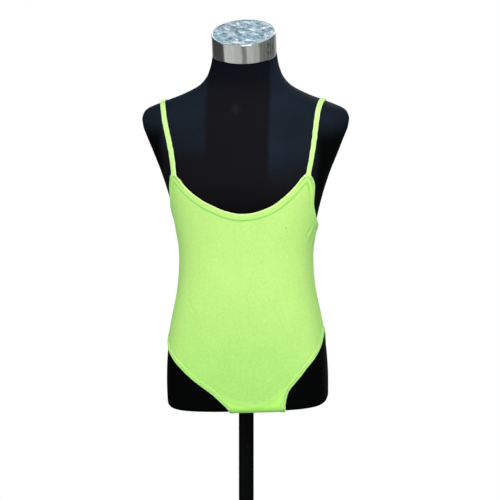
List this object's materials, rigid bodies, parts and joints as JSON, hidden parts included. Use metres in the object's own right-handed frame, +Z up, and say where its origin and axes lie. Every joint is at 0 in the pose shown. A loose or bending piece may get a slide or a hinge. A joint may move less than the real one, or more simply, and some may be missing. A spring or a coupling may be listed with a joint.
{
  "type": "leotard on dress form",
  "caption": "Stretch leotard with thin shoulder straps, scooped neck and bound edges, worn by a limbless child-size dress form on a pole stand.",
  "frame": {"origin": "centre of the stand's base on the floor", "axes": "+Z up along the pole, front of the leotard towards -Y, wearer's left towards +X"},
  "size_m": [0.32, 0.32, 0.9591],
  "materials": {
    "jersey_cloth": "fine matte stretch knit, bright yellow-green",
    "cloth_binding": "the same knit, folded double",
    "form_jersey": "tight black jersey",
    "cap_metal": "bright, with a wrinkled film on top",
    "stand_paint": "black, satin"
  },
  "bodies": {
    "root": {"front_panel": "jersey_cloth", "back_panel": "jersey_cloth", "gusset": "jersey_cloth", "neck_binding_front": "cloth_binding", "neck_binding_back": "cloth_binding", "arm_binding_left": "cloth_binding", "arm_binding_right": "cloth_binding", "leg_binding_left": "cloth_binding", "leg_binding_right": "cloth_binding", "strap_left": "cloth_binding", "strap_right": "cloth_binding", "dress_form": "form_jersey", "neck_cap": "cap_metal", "stand_pole": "stand_paint", "stand_base": "stand_paint"}
  },
  "joints": []
}
